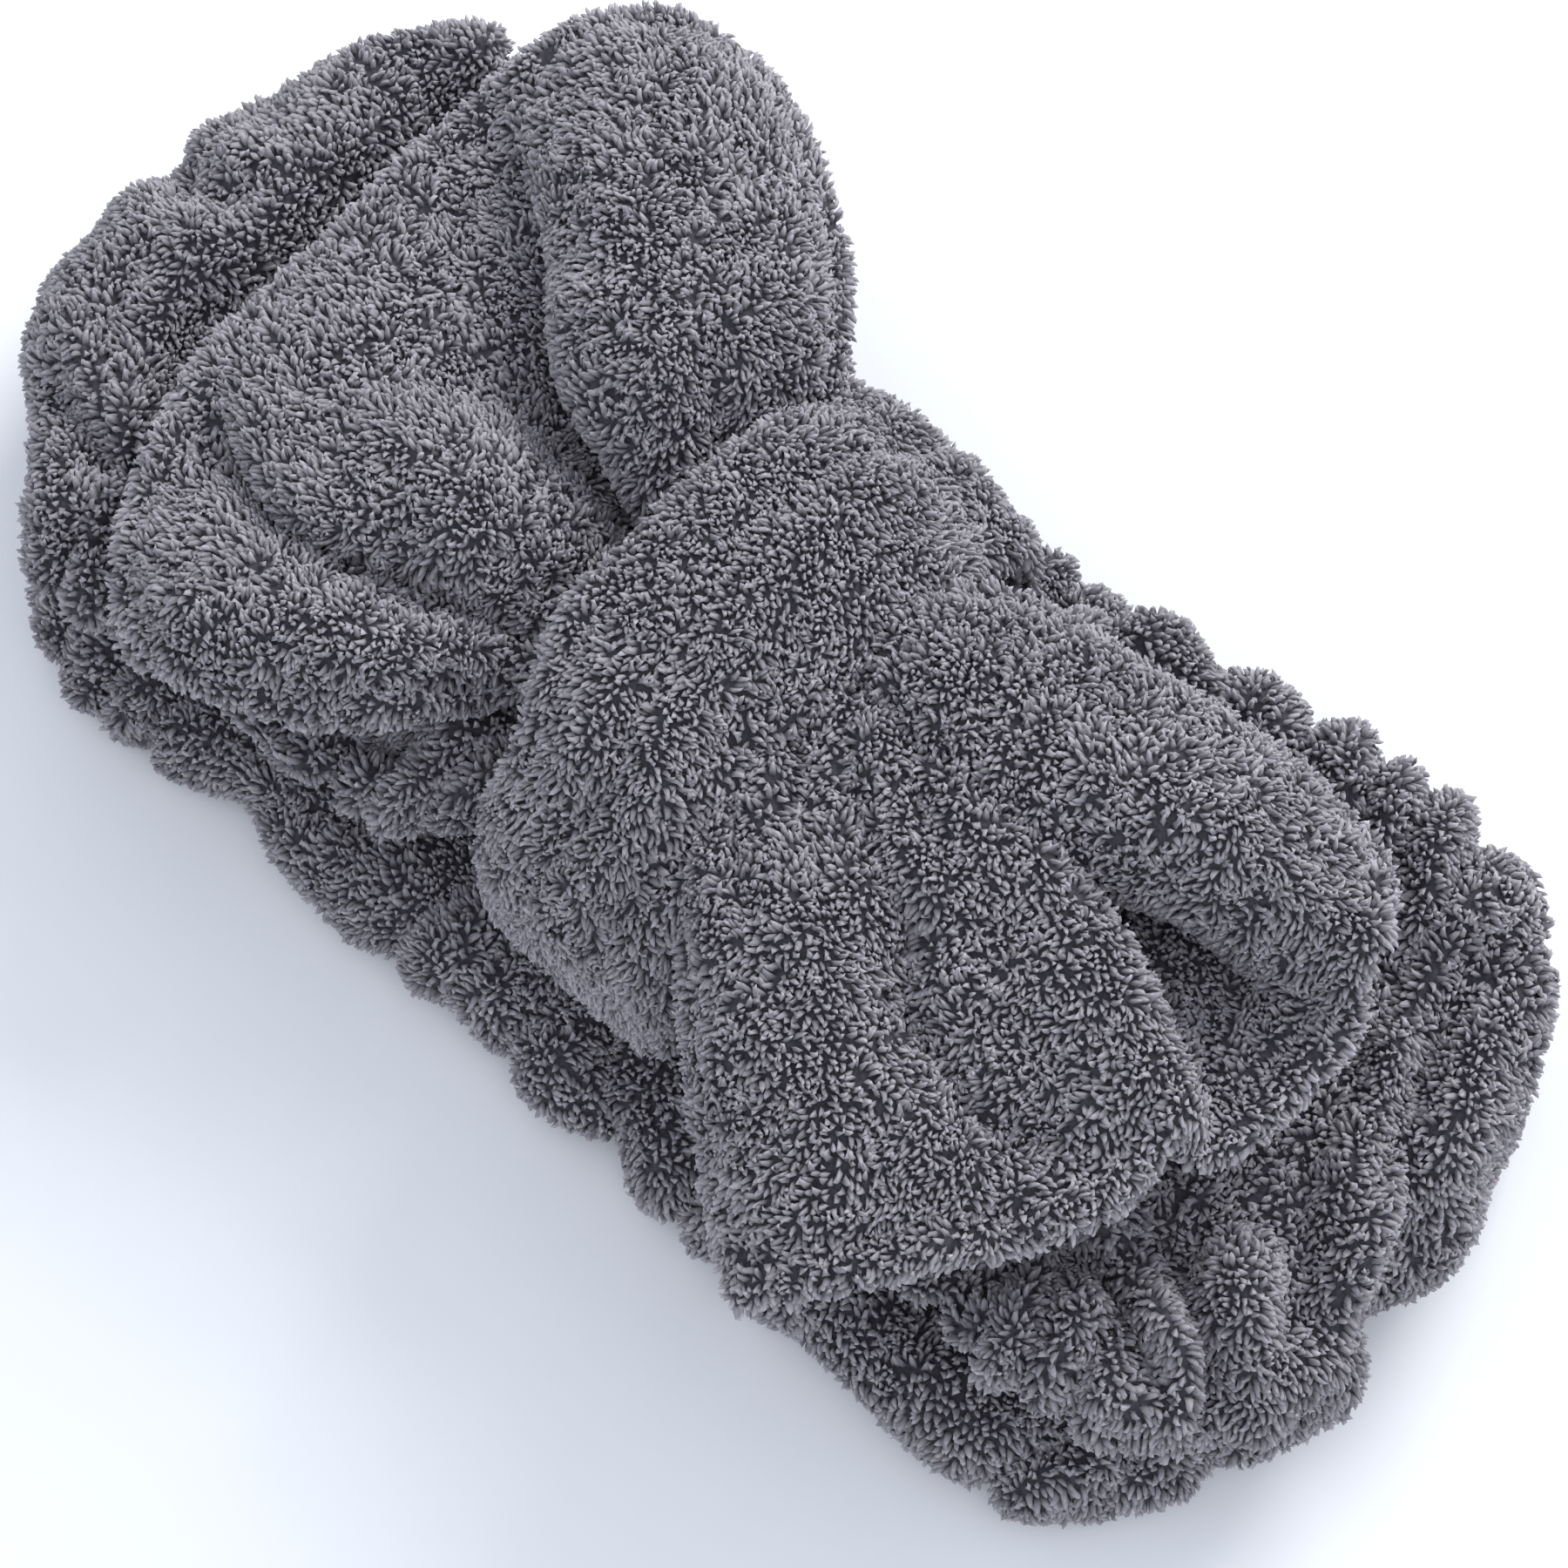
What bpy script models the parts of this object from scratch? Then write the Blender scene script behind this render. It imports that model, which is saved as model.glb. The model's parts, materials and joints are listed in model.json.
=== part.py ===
"""Spa headband, laid flat: an elastic loop in a plush fleece sleeve, with a fleece bow held on by a knot strip.

Metres, +Z up. X runs along the band, which rests on Z = 0 as two layers joined by a turn at each end.
The bow lies on the front layer, turned a little about Z. Outer faces follow the tips of the pile.
"""

import math

import bmesh
import bpy
from mathutils import Matrix, Vector

# Band
BAND_LENGTH = 0.210  # folded flat, from fold to fold
BAND_WIDTH = 0.094
LAYER = 0.013  # one layer of the filled-out sleeve
LOOP_GAP = 0.006  # between the two layers, where the head goes
WALL = 0.004  # fleece with its pile
END_CORNER = 0.026  # corner radius of the folded ends, seen from above
SPLIT_X = 0.087  # where the stretching ends begin, just before the fold's curve
SEAM_GAP = 0.0003  # clearance between pieces that meet
CINCH_HALF_WIDTH = 0.028  # half the front layer's width inside the knot
CINCH_HOLD = 0.026  # the front layer keeps that width this far from there
CINCH_REACH = 0.056  # and has its full width again from here
CINCH_THINNING = 0.0005

# Elastic and threads
ELASTIC_WIDTH = 0.025
ELASTIC_THICKNESS = 0.001
LAP_LENGTH = 0.020
THREAD_RADIUS = 0.0004

# Bow
BOW_YAW = math.radians(-9)
BOW_MIDDLE_U = 0.006  # the bow sits this far off the band's middle
WING_ROOT = 0.0260  # distance of a wing's gathered root from the knot's middle
WINGS = {  # side, length from the knot's middle, half width at the wide end
    "bow_left": (-1, 0.0795, 0.050),
    "bow_right": (1, 0.0730, 0.044),
}
WING_SKEW = 0.12  # a wing is this much longer towards +v, for each metre of v
WING_CORNER_DROP = 0.014  # how much shorter a wing is at its corners
ROOT_HALF_WIDTH = 0.035
PANEL = 0.003
PANEL_GAP = 0.0015
WING_CLEARANCE = 0.0008  # above the front layer
ROOT_MIDDLE_Z = 0.0435
ROOT_PUFF = 0.0020  # each panel's extra height at its root
WING_CROWN = 0.0040
PLEAT_DEPTH = 0.0010
PLEATS = 3
EDGE_SEAM_INSET = 0.004
PIVOT_U = 0.017
PIVOT_Z = 0.044

# Waist and knot
WAIST_HALF_LENGTH = 0.019
WAIST_HALF_WIDTH = 0.0225
WAIST_FLARE = 0.12  # share by which the waist widens at its ends
WAIST_HALF_HEIGHT = 0.0088
WAIST_Z = 0.0427
WAIST_CINCH = 0.18  # share of its size that the waist loses under its thread
WAIST_PLEATS = 9
WAIST_TURNS = 4
WAIST_PITCH = 0.0013
KNOT_MIDDLE_X = 0.0065
KNOT_HALF_REACH = 0.035
KNOT_BOTTOM_Z = 0.016
KNOT_SHOULDER_Z = 0.027
KNOT_TOP_Z = 0.056
KNOT_HALF_WIDTH = 0.016
KNOT_STRIP = 0.004
KNOT_SEAM_GAP = 0.0006

BACK_Z = LAYER / 2
FRONT_Z = LAYER * 1.5 + LOOP_GAP
BAND_TOP_Z = 2 * LAYER + LOOP_GAP
TURN_Z = (BACK_Z + FRONT_Z) / 2
TURN_RADIUS = (FRONT_Z - BACK_Z) / 2
TURN_X = BAND_LENGTH / 2 - TURN_RADIUS - LAYER / 2
WING_MIDDLE_Z = BAND_TOP_Z + WING_CLEARANCE + PANEL + PANEL_GAP / 2


def clear_scene():
    for obj in list(bpy.data.objects):
        bpy.data.objects.remove(obj, do_unlink=True)


def make_material(name, colour, roughness):
    material = bpy.data.materials.new(name)
    material.use_nodes = True
    shader = material.node_tree.nodes["Principled BSDF"]
    shader.inputs["Base Color"].default_value = (*colour, 1)
    shader.inputs["Roughness"].default_value = roughness
    shader.inputs["Metallic"].default_value = 0
    return material


def smooth(share):
    """0 below 0, 1 above 1, and an even curve between them."""
    share = min(max(share, 0), 1)
    return share * share * (3 - 2 * share)


def mix(low, high, share):
    return low + (high - low) * share


def add_object(name, bm, material, parent=None):
    bmesh.ops.recalc_face_normals(bm, faces=bm.faces)
    mesh = bpy.data.meshes.new(name)
    bm.to_mesh(mesh)
    bm.free()
    mesh.shade_smooth()
    mesh.set_sharp_from_angle(angle=math.radians(50))
    mesh.materials.append(material)
    obj = bpy.data.objects.new(name, mesh)
    bpy.context.collection.objects.link(obj)
    if parent:
        obj.parent = parent
        obj.matrix_parent_inverse = parent.matrix_world.inverted()
    return obj


def join_rings(bm, first, second):
    for i, vert in enumerate(first):
        after = (i + 1) % len(first)
        bm.faces.new((vert, first[after], second[after], second[i]))


def loft(rings):
    """A closed body through rings of points, capped at both ends."""
    bm = bmesh.new()
    rows = [[bm.verts.new(point) for point in ring] for ring in rings]
    for first, second in zip(rows, rows[1:], strict=False):
        join_rings(bm, first, second)
    bm.faces.new(rows[0])
    bm.faces.new(reversed(rows[-1]))
    return bm


def hollow_loft(outer_rings, inner_rings):
    """A tube with a wall between the outer and the inner rings, open at both ends."""
    bm = bmesh.new()
    outer = [[bm.verts.new(point) for point in ring] for ring in outer_rings]
    inner = [[bm.verts.new(point) for point in ring] for ring in inner_rings]
    for rows in (outer, inner):
        for first, second in zip(rows, rows[1:], strict=False):
            join_rings(bm, first, second)
    join_rings(bm, outer[0], inner[0])
    join_rings(bm, outer[-1], inner[-1])
    return bm


def add_thread(name, points, material, radius=THREAD_RADIUS, parent=None):
    curve = bpy.data.curves.new(name, "CURVE")
    curve.dimensions = "3D"
    curve.bevel_depth = radius
    curve.bevel_resolution = 1
    curve.use_fill_caps = True
    spline = curve.splines.new("POLY")
    spline.points.add(len(points) - 1)
    for place, point in zip(spline.points, points, strict=True):
        place.co = (*point, 1)
    curve.materials.append(material)
    obj = bpy.data.objects.new(name, curve)
    bpy.context.collection.objects.link(obj)
    if parent:
        obj.parent = parent
        obj.matrix_parent_inverse = parent.matrix_world.inverted()
    return obj


# ---------------------------------------------------------------- the band


def folded_half_width(x):
    """Half the band's width, which the folded ends' round corners reduce."""
    past = abs(x) - (BAND_LENGTH / 2 - END_CORNER)
    if past <= 0:
        return BAND_WIDTH / 2
    return BAND_WIDTH / 2 - END_CORNER + math.sqrt(max(END_CORNER**2 - past**2, 0))


def cinched_share(x):
    """1 where the knot cinches the front layer, 0 where it has its full width."""
    return 1 - smooth((abs(x - KNOT_MIDDLE_X) - CINCH_HOLD) / (CINCH_REACH - CINCH_HOLD))


def front_station(x):
    """Place, outward direction, half width and half thickness of the front layer."""
    share = cinched_share(x)
    width = mix(folded_half_width(x), CINCH_HALF_WIDTH, share)
    return Vector((x, 0, FRONT_Z)), Vector((0, 0, 1)), width, LAYER / 2 - CINCH_THINNING * share


def back_station(x):
    return Vector((x, 0, BACK_Z)), Vector((0, 0, -1)), folded_half_width(x), LAYER / 2


def corner_places():
    """X from where the edges begin to round in towards the folded end, to the split."""
    start, end = BAND_LENGTH / 2 - END_CORNER, SPLIT_X - SEAM_GAP / 2
    return [mix(start, end, share) for share in (0, 0.6, 1)]


def front_path():
    cinch = [mix(CINCH_HOLD, CINCH_REACH, share) for share in (0, 0.25, 0.5, 0.75, 1)]
    left = [-x for x in corner_places()] + [KNOT_MIDDLE_X - reach for reach in cinch]
    right = [KNOT_MIDDLE_X + reach for reach in cinch] + corner_places()
    return [front_station(x) for x in sorted(left) + sorted(right)]


def back_path():
    corners = corner_places()
    return [back_station(x) for x in sorted([-x for x in corners] + corners)]


def turn_path(side):
    """The end from the front layer round to the back one, on the +X side for 1 and the -X side for -1."""
    start = SPLIT_X + SEAM_GAP / 2
    path = [(start, FRONT_Z, 0.0, 1.0)]
    steps = 14
    for step in range(steps + 1):
        angle = math.pi * step / steps
        out, up = math.sin(angle), math.cos(angle)
        path.append((TURN_X + TURN_RADIUS * out, TURN_Z + TURN_RADIUS * up, out, up))
    path.append((start, BACK_Z, 0.0, -1.0))
    stations = []
    for x, z, out, up in path:
        outer_x = x + out * LAYER / 2
        place = Vector((side * x, 0, z))
        stations.append((place, Vector((side * out, 0, up)), folded_half_width(outer_x), LAYER / 2))
    return stations


def sleeve_ring(station, inset):
    """Points round the sleeve's flat section with its round edges, set in by the wall for the inner face."""
    place, out, half_width, half_thickness = station
    radius = half_thickness - inset
    middle = half_width - half_thickness
    points = []
    steps = 6
    for side in (1, -1):
        for step in range(steps + 1):
            angle = side * (math.pi / 2 - math.pi * step / steps)
            across = side * (middle + radius * math.cos(angle))
            points.append(place + out * radius * math.sin(angle) + Vector((0, across, 0)))
    return points


def flat_ring(station, half_width, half_thickness):
    place, out, _, _ = station
    corners = ((1, 1), (1, -1), (-1, -1), (-1, 1))
    return [place + out * half_thickness * up + Vector((0, half_width * side, 0)) for side, up in corners]


def add_sleeve(name, path, material):
    outer = [sleeve_ring(station, 0) for station in path]
    inner = [sleeve_ring(station, WALL) for station in path]
    return add_object(name, hollow_loft(outer, inner), material)


def add_elastic(name, path, material):
    rings = [flat_ring(station, ELASTIC_WIDTH / 2, ELASTIC_THICKNESS / 2) for station in path]
    return add_object(name, loft(rings), material)


def add_edge_seam(name, path, material):
    """The sewn long edge of the sleeve, inside its +Y edge."""
    points = [place + Vector((0, half_width - half_thickness, 0)) for place, _, half_width, half_thickness in path]
    return add_thread(name, points, material)


def wave_points(start, end, swing, waves, steps_per_wave=8):
    """Points of a smooth zigzag from start to end, swinging to either side by the swing vector."""
    steps = waves * steps_per_wave
    return [
        start.lerp(end, step / steps) + swing * math.sin(math.tau * waves * step / steps) for step in range(steps + 1)
    ]


def add_band(fleece, elastic, thread):
    paths = {"front": front_path(), "back": back_path(), "left": turn_path(-1), "right": turn_path(1)}
    names = {"front": "front", "back": "back", "left": "left_turn", "right": "right_turn"}
    for part, path in paths.items():
        add_sleeve(f"sleeve_{names[part]}", path, fleece)
        add_elastic(f"elastic_{names[part]}", path, elastic)
        add_edge_seam(f"sleeve_seam_{names[part]}", path, thread)
    over_elastic = BACK_Z + ELASTIC_THICKNESS / 2 + SEAM_GAP + THREAD_RADIUS
    lap_start = Vector((-0.045, 0, over_elastic))
    lap_end = lap_start + Vector((LAP_LENGTH, 0, 0))
    swing = Vector((0, ELASTIC_WIDTH * 0.4, 0))
    add_thread("elastic_lap_stitch", wave_points(lap_start, lap_end, swing, 4), thread)
    under_elastic = BACK_Z - ELASTIC_THICKNESS / 2 - SEAM_GAP - THREAD_RADIUS
    reach = BAND_WIDTH / 2 - WALL - 0.006
    ends = (Vector((0, -reach, under_elastic)), Vector((0, reach, under_elastic)))
    add_thread("sleeve_closing_seam", wave_points(*ends, Vector((0.002, 0, 0)), 9), thread)


# ---------------------------------------------------------------- the bow, in its own u, v and Z from the knot's middle


def bow_to_row():
    return Matrix.Rotation(BOW_YAW, 4, "Z") @ Matrix.Translation((BOW_MIDDLE_U, 0, 0))


def wing_point(wing, share, across):
    """u and v at a share of the way from the root to the end, and across from -1 to 1."""
    side, length, half_width = wing
    v = across * mix(ROOT_HALF_WIDTH, half_width, smooth(share / 0.45))
    end = length + WING_SKEW * v - WING_CORNER_DROP * abs(across) ** 3
    return side * mix(WING_ROOT, end, share), v


def wing_middle_z(share):
    return mix(ROOT_MIDDLE_Z, WING_MIDDLE_Z, smooth(share / 0.5))


def top_face_z(share, across):
    inner = 1 - across * across
    puff = ROOT_PUFF * inner * (1 - smooth(share / 0.8))
    crown = WING_CROWN * inner * math.sin(math.pi * share)
    pleats = PLEAT_DEPTH * math.cos(math.tau * PLEATS * across / 2) * (1 - share) * inner
    return wing_middle_z(share) + PANEL_GAP / 2 + PANEL + puff + crown + pleats


def bottom_face_z(share, across):
    puff = ROOT_PUFF * (1 - across * across) * (1 - smooth(share / 0.4))
    return wing_middle_z(share) - PANEL_GAP / 2 - PANEL - puff


def panel_body(wing, upper_z, lower_z, rows=11, columns=14):
    """A closed sheet between two heights over the wing's outline."""
    bm = bmesh.new()
    grids = []
    for height in (upper_z, lower_z):
        grid = []
        for row in range(rows + 1):
            share = row / rows
            line = []
            for column in range(columns + 1):
                across = 2 * column / columns - 1
                line.append(bm.verts.new((*wing_point(wing, share, across), height(share, across))))
            grid.append(line)
        grids.append(grid)
        for first, second in zip(grid, grid[1:], strict=False):
            for i in range(columns):
                bm.faces.new((first[i], first[i + 1], second[i + 1], second[i]))
    rims = []
    for grid in grids:
        rim = grid[0][:-1] + [line[-1] for line in grid[:-1]]
        rim += grid[-1][:0:-1] + [line[0] for line in grid[:0:-1]]
        rims.append(rim)
    join_rings(bm, *rims)
    return bm


def add_wing(name, wing, pivot, fleece, thread):
    """A wing's front and back panels and the sewn edge between them, on its hinge."""
    _, length, half_width = wing

    def front_under(share, across):
        return top_face_z(share, across) - PANEL

    def back_over(share, across):
        return bottom_face_z(share, across) + PANEL

    for panel, faces in (("front", (top_face_z, front_under)), ("back", (back_over, bottom_face_z))):
        bm = panel_body(wing, *faces)
        bm.transform(bow_to_row())
        add_object(f"{name}_{panel}_panel", bm, fleece, pivot)
    share_in = 1 - EDGE_SEAM_INSET / (length - WING_ROOT)
    across_in = 1 - EDGE_SEAM_INSET / half_width
    edge = [(0.12 + (share_in - 0.12) * i / 10, -across_in) for i in range(11)]
    edge += [(share_in, across_in * (i / 6 - 1)) for i in range(1, 12)]
    edge += [(share, across_in) for share, _ in reversed(edge[:11])]
    points = []
    for share, across in edge:
        middle = (top_face_z(share, across) + bottom_face_z(share, across)) / 2
        points.append(bow_to_row() @ Vector((*wing_point(wing, share, across), middle)))
    add_thread(f"{name}_edge_seam", points, thread, parent=pivot)


def waist_share(u):
    """1 under the waist thread, 0 clear of it."""
    return 1 - smooth((abs(u) - 0.0035) / 0.006)


def waist_ring(u):
    """The pleated, gathered section of the bow's waist."""
    cinch = 1 - WAIST_CINCH * waist_share(u)
    ends = smooth((abs(u) - 0.012) / (WAIST_HALF_LENGTH - 0.012))
    half_width = WAIST_HALF_WIDTH * (cinch + WAIST_FLARE * ends)
    half_height = WAIST_HALF_HEIGHT * (cinch - WAIST_FLARE * ends)
    points = []
    steps = 4 * WAIST_PLEATS
    for step in range(steps):
        angle = math.tau * step / steps
        pleat = 1 - 0.05 * (1 + math.cos(WAIST_PLEATS * angle)) / 2
        across = half_width * pleat * math.cos(angle)
        up = half_height * pleat * math.sin(angle)
        points.append((u, across, WAIST_Z + up))
    return points


def add_waist(fleece, thread):
    places = (-1, -0.68, -0.45, -0.3, -0.17, 0.17, 0.3, 0.45, 0.68, 1)
    bm = loft([waist_ring(WAIST_HALF_LENGTH * place) for place in places])
    bm.transform(bow_to_row())
    add_object("bow_waist", bm, fleece)
    clear = THREAD_RADIUS + SEAM_GAP
    half_width = WAIST_HALF_WIDTH * (1 - WAIST_CINCH) + clear
    half_height = WAIST_HALF_HEIGHT * (1 - WAIST_CINCH) + clear
    steps = 24
    points = []
    for step in range(WAIST_TURNS * steps + 1):
        turns = step / steps
        u = WAIST_PITCH * (turns - WAIST_TURNS / 2)
        angle = math.tau * turns
        place = Vector((u, half_width * math.cos(angle), WAIST_Z + half_height * math.sin(angle)))
        points.append(bow_to_row() @ place)
    add_thread("waist_thread", points, thread)


# ---------------------------------------------------------------- the knot


def squared(value, power):
    return math.copysign(abs(value) ** power, value)


def knot_place(angle):
    """v and Z of the strip's middle line: square round the front layer, arched over the bow."""
    up = math.sin(angle)
    power = 0.45 if up < 0 else mix(0.45, 0.85, smooth(up * 2))
    reach = KNOT_TOP_Z - KNOT_SHOULDER_Z if up > 0 else KNOT_SHOULDER_Z - KNOT_BOTTOM_Z
    across = KNOT_HALF_REACH * squared(math.cos(angle), power)
    return Vector((0, across, KNOT_SHOULDER_Z + reach * squared(up, power)))


def knot_ring(angle):
    """The strip's flat section with rounded edges, square to its path."""
    step = 0.02
    along = (knot_place(angle + step) - knot_place(angle - step)).normalized()
    out = Vector((0, along.z, -along.y))
    half_strip = KNOT_STRIP / 2
    section = ((-1, 0), (-0.9, 0.8), (-0.75, 1), (0.75, 1), (0.9, 0.8), (1, 0), (0.9, -0.8), (-0.9, -0.8))
    place = knot_place(angle)
    return [place + Vector((KNOT_HALF_WIDTH * wide, 0, 0)) + out * half_strip * high for wide, high in section]


def add_knot(fleece, thread):
    """One strip round the waist and the front layer, its ends sewn together under that layer."""
    to_row = Matrix.Translation((KNOT_MIDDLE_X, 0, 0))
    steps = 36
    opening = 0.0125
    start, end = -math.pi / 2 + opening, 1.5 * math.pi - opening
    rings = [knot_ring(mix(start, end, step / steps)) for step in range(steps + 1)]
    for ring, side in ((rings[0], 1), (rings[-1], -1)):
        for point in ring:
            point.y = side * KNOT_SEAM_GAP / 2
    bm = loft(rings)
    bm.transform(to_row)
    add_object("knot_strip", bm, fleece)
    over_strip = KNOT_BOTTOM_Z + KNOT_STRIP / 2 + SEAM_GAP + THREAD_RADIUS
    reach = KNOT_HALF_WIDTH * 0.8
    ends = (to_row @ Vector((-reach, 0, over_strip)), to_row @ Vector((reach, 0, over_strip)))
    add_thread("knot_closing_stitch", wave_points(*ends, Vector((0, 0.0025, 0)), 7), thread)


def main():
    clear_scene()
    fleece = make_material("fleece", (0.10, 0.095, 0.105), 0.95)
    elastic = make_material("elastic", (0.75, 0.74, 0.71), 0.8)
    thread = make_material("thread", (0.07, 0.065, 0.075), 0.7)
    add_band(fleece, elastic, thread)
    add_waist(fleece, thread)
    add_knot(fleece, thread)
    for name, wing in WINGS.items():
        pivot = bpy.data.objects.new(f"{name}_pivot", None)
        bpy.context.collection.objects.link(pivot)
        pivot.location = bow_to_row() @ Vector((wing[0] * PIVOT_U, 0, PIVOT_Z))
        bpy.context.view_layer.update()
        add_wing(name, wing, pivot, fleece, thread)


main()
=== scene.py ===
"""Spa headband laid flat: a curly plush sleeve round an elastic loop, with a bow held on by a knot strip.

Shapes are worked out in millimetres in the frame's own axes: X along the band, Y across it and Z up.
The bow has axes of its own, u along it and v across it, from its middle on top of the front layer.
"""

import json
import math

import bpy
import numpy as np
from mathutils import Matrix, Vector, kdtree, noise


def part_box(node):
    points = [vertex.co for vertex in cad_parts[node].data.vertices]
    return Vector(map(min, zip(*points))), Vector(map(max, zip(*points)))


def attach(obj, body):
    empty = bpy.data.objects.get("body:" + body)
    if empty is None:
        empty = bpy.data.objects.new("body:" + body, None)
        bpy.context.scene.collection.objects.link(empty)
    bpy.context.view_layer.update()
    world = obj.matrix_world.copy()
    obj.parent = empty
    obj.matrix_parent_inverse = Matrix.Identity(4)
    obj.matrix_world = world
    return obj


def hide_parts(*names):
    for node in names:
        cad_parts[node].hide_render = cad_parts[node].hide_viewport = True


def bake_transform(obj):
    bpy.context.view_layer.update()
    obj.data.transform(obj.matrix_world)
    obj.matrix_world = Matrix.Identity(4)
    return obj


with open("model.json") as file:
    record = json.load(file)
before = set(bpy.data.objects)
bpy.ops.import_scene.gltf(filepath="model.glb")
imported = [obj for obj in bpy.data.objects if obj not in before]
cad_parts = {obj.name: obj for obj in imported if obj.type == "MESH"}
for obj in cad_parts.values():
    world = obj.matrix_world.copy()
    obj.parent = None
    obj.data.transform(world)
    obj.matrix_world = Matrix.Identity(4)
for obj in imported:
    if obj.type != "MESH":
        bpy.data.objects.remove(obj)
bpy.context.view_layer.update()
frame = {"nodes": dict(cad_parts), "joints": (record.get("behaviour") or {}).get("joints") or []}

MM = 0.001
rng = np.random.default_rng(7)
noise.seed_set(7)  # noise_vector would otherwise differ from run to run

# ---------------------------------------------------------------- sizes read from the frame, in mm


def node_box(name):
    low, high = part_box(name)
    return np.array(low) / MM, np.array(high) / MM


def joint(name):
    return next(entry for entry in frame["joints"] if entry["name"] == name)


back_low, back_high = node_box("sleeve_back")
front_low, front_high = node_box("sleeve_front")
knot_low, knot_high = node_box("knot_strip")
waist_low, waist_high = node_box("bow_waist")
right_pivot = np.array(joint("lift_right_wing")["pos_m"]) / MM
left_pivot = np.array(joint("lift_left_wing")["pos_m"]) / MM

PILE = 1.7  # the base fabric lies this far inside the CAD faces, which follow the pile's tips
BAND_END = node_box("sleeve_right_turn")[1][0]
BAND_HALF_WIDTH = back_high[1]
LAYER = back_high[2] - back_low[2]
BACK_Z = (back_low[2] + back_high[2]) / 2
BAND_TOP = front_high[2]
FRONT_Z = BAND_TOP - LAYER / 2
TURN_Z = (BACK_Z + FRONT_Z) / 2
TURN_RADIUS = (FRONT_Z - BACK_Z) / 2
TURN_X = BAND_END - TURN_RADIUS - LAYER / 2
KNOT_X = (knot_low[0] + knot_high[0]) / 2
KNOT_HALF_WIDTH = (knot_high[0] - knot_low[0]) / 2
KNOT_REACH = (knot_high[1] - knot_low[1]) / 2
bow_middle = (right_pivot + left_pivot) / 2
bow_middle[2] = BAND_TOP
along = right_pivot - left_pivot
BOW_YAW = math.atan2(along[1], along[0])
U_AXIS = np.array([math.cos(BOW_YAW), math.sin(BOW_YAW), 0])
V_AXIS = np.array([-math.sin(BOW_YAW), math.cos(BOW_YAW), 0])

# ---------------------------------------------------------------- small helpers


def smooth(share):
    share = np.clip(share, 0, 1)
    return share * share * (3 - 2 * share)


def bump(distance, width):
    return np.exp(-((distance / width) ** 2))


def unit(vectors):
    return vectors / np.maximum(np.linalg.norm(vectors, axis=-1, keepdims=True), 1e-9)


def spline(values, places):
    """A smooth curve through the values, read at places that count from the first value, along axis 0."""
    ends = 2 * values[:1] - values[1:2], 2 * values[-1:] - values[-2:-1]
    padded = np.concatenate([ends[0], values, ends[1]])
    first = np.clip(np.floor(places).astype(int), 0, len(values) - 2)
    t = (places - first).reshape(-1, *([1] * (values.ndim - 1)))
    a, b, c, d = (padded[first + i] for i in range(4))
    return 0.5 * (2 * b + (c - a) * t + (2 * a - 5 * b + 4 * c - d) * t**2 + (3 * b - a - 3 * c + d) * t**3)


def lumps(points, size, seed):
    """Soft random vectors that change over about this size, one for each point."""
    offset = Vector((seed * 3.7, seed * 1.9, seed * 5.3))
    flat = points.reshape(-1, 3) / size
    return np.array([noise.noise_vector(Vector(p) + offset) for p in flat]).reshape(points.shape)


def bow_to_row(points):
    """Points in u, v and height over the front layer, to the row frame."""
    level = points[..., :1] * U_AXIS + points[..., 1:2] * V_AXIS
    return bow_middle + level + points[..., 2:] * np.array([0, 0, 1])


def distance_to(path, points):
    """How far each point is from the path, seen from above."""
    nearest = np.full(points.shape[:-1], np.inf)
    for start, end in zip(path, path[1:]):
        start, step = np.array(start), np.subtract(end, start)
        share = np.clip((points[..., :2] - start) @ step / (step @ step), 0, 1)
        gap = np.linalg.norm(points[..., :2] - start - share[..., None] * step, axis=-1)
        nearest = np.minimum(nearest, gap)
    return nearest


def kd_tree(points):
    tree = kdtree.KDTree(len(points))
    for i, point in enumerate(points):
        tree.insert(point, i)
    tree.balance()
    return tree


def end_caps(rings, start, flips):
    """Strips of quads across the two ends of a tube, from the start column of its rings of points."""
    columns = rings.shape[1]
    steps = np.arange(columns // 2)
    first, second = (start + steps) % columns, (start - 1 - steps) % columns
    caps = []
    for line, flip in zip((rings[0], rings[-1]), flips):
        cap = np.stack([line[first[:-1]], line[first[1:]], line[second[1:]], line[second[:-1]]], -1)
        caps.append(cap[:, ::-1] if flip else cap)
    return caps


def mesh_object(name, points, faces, material):
    """A smooth mesh of faces that all have the same number of corners."""
    mesh = bpy.data.meshes.new(name)
    count, corners = faces.shape
    mesh.vertices.add(len(points))
    mesh.vertices.foreach_set("co", (points * MM).astype(np.float32).ravel())
    mesh.loops.add(count * corners)
    mesh.loops.foreach_set("vertex_index", faces.astype(np.int32).ravel())
    mesh.polygons.add(count)
    mesh.polygons.foreach_set("loop_start", np.arange(0, count * corners, corners, dtype=np.int32))
    mesh.update(calc_edges=True)
    mesh.shade_smooth()
    mesh.materials.append(material)
    obj = bpy.data.objects.new(name, mesh)
    bpy.context.scene.collection.objects.link(obj)
    return obj


# ---------------------------------------------------------------- materials


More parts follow.
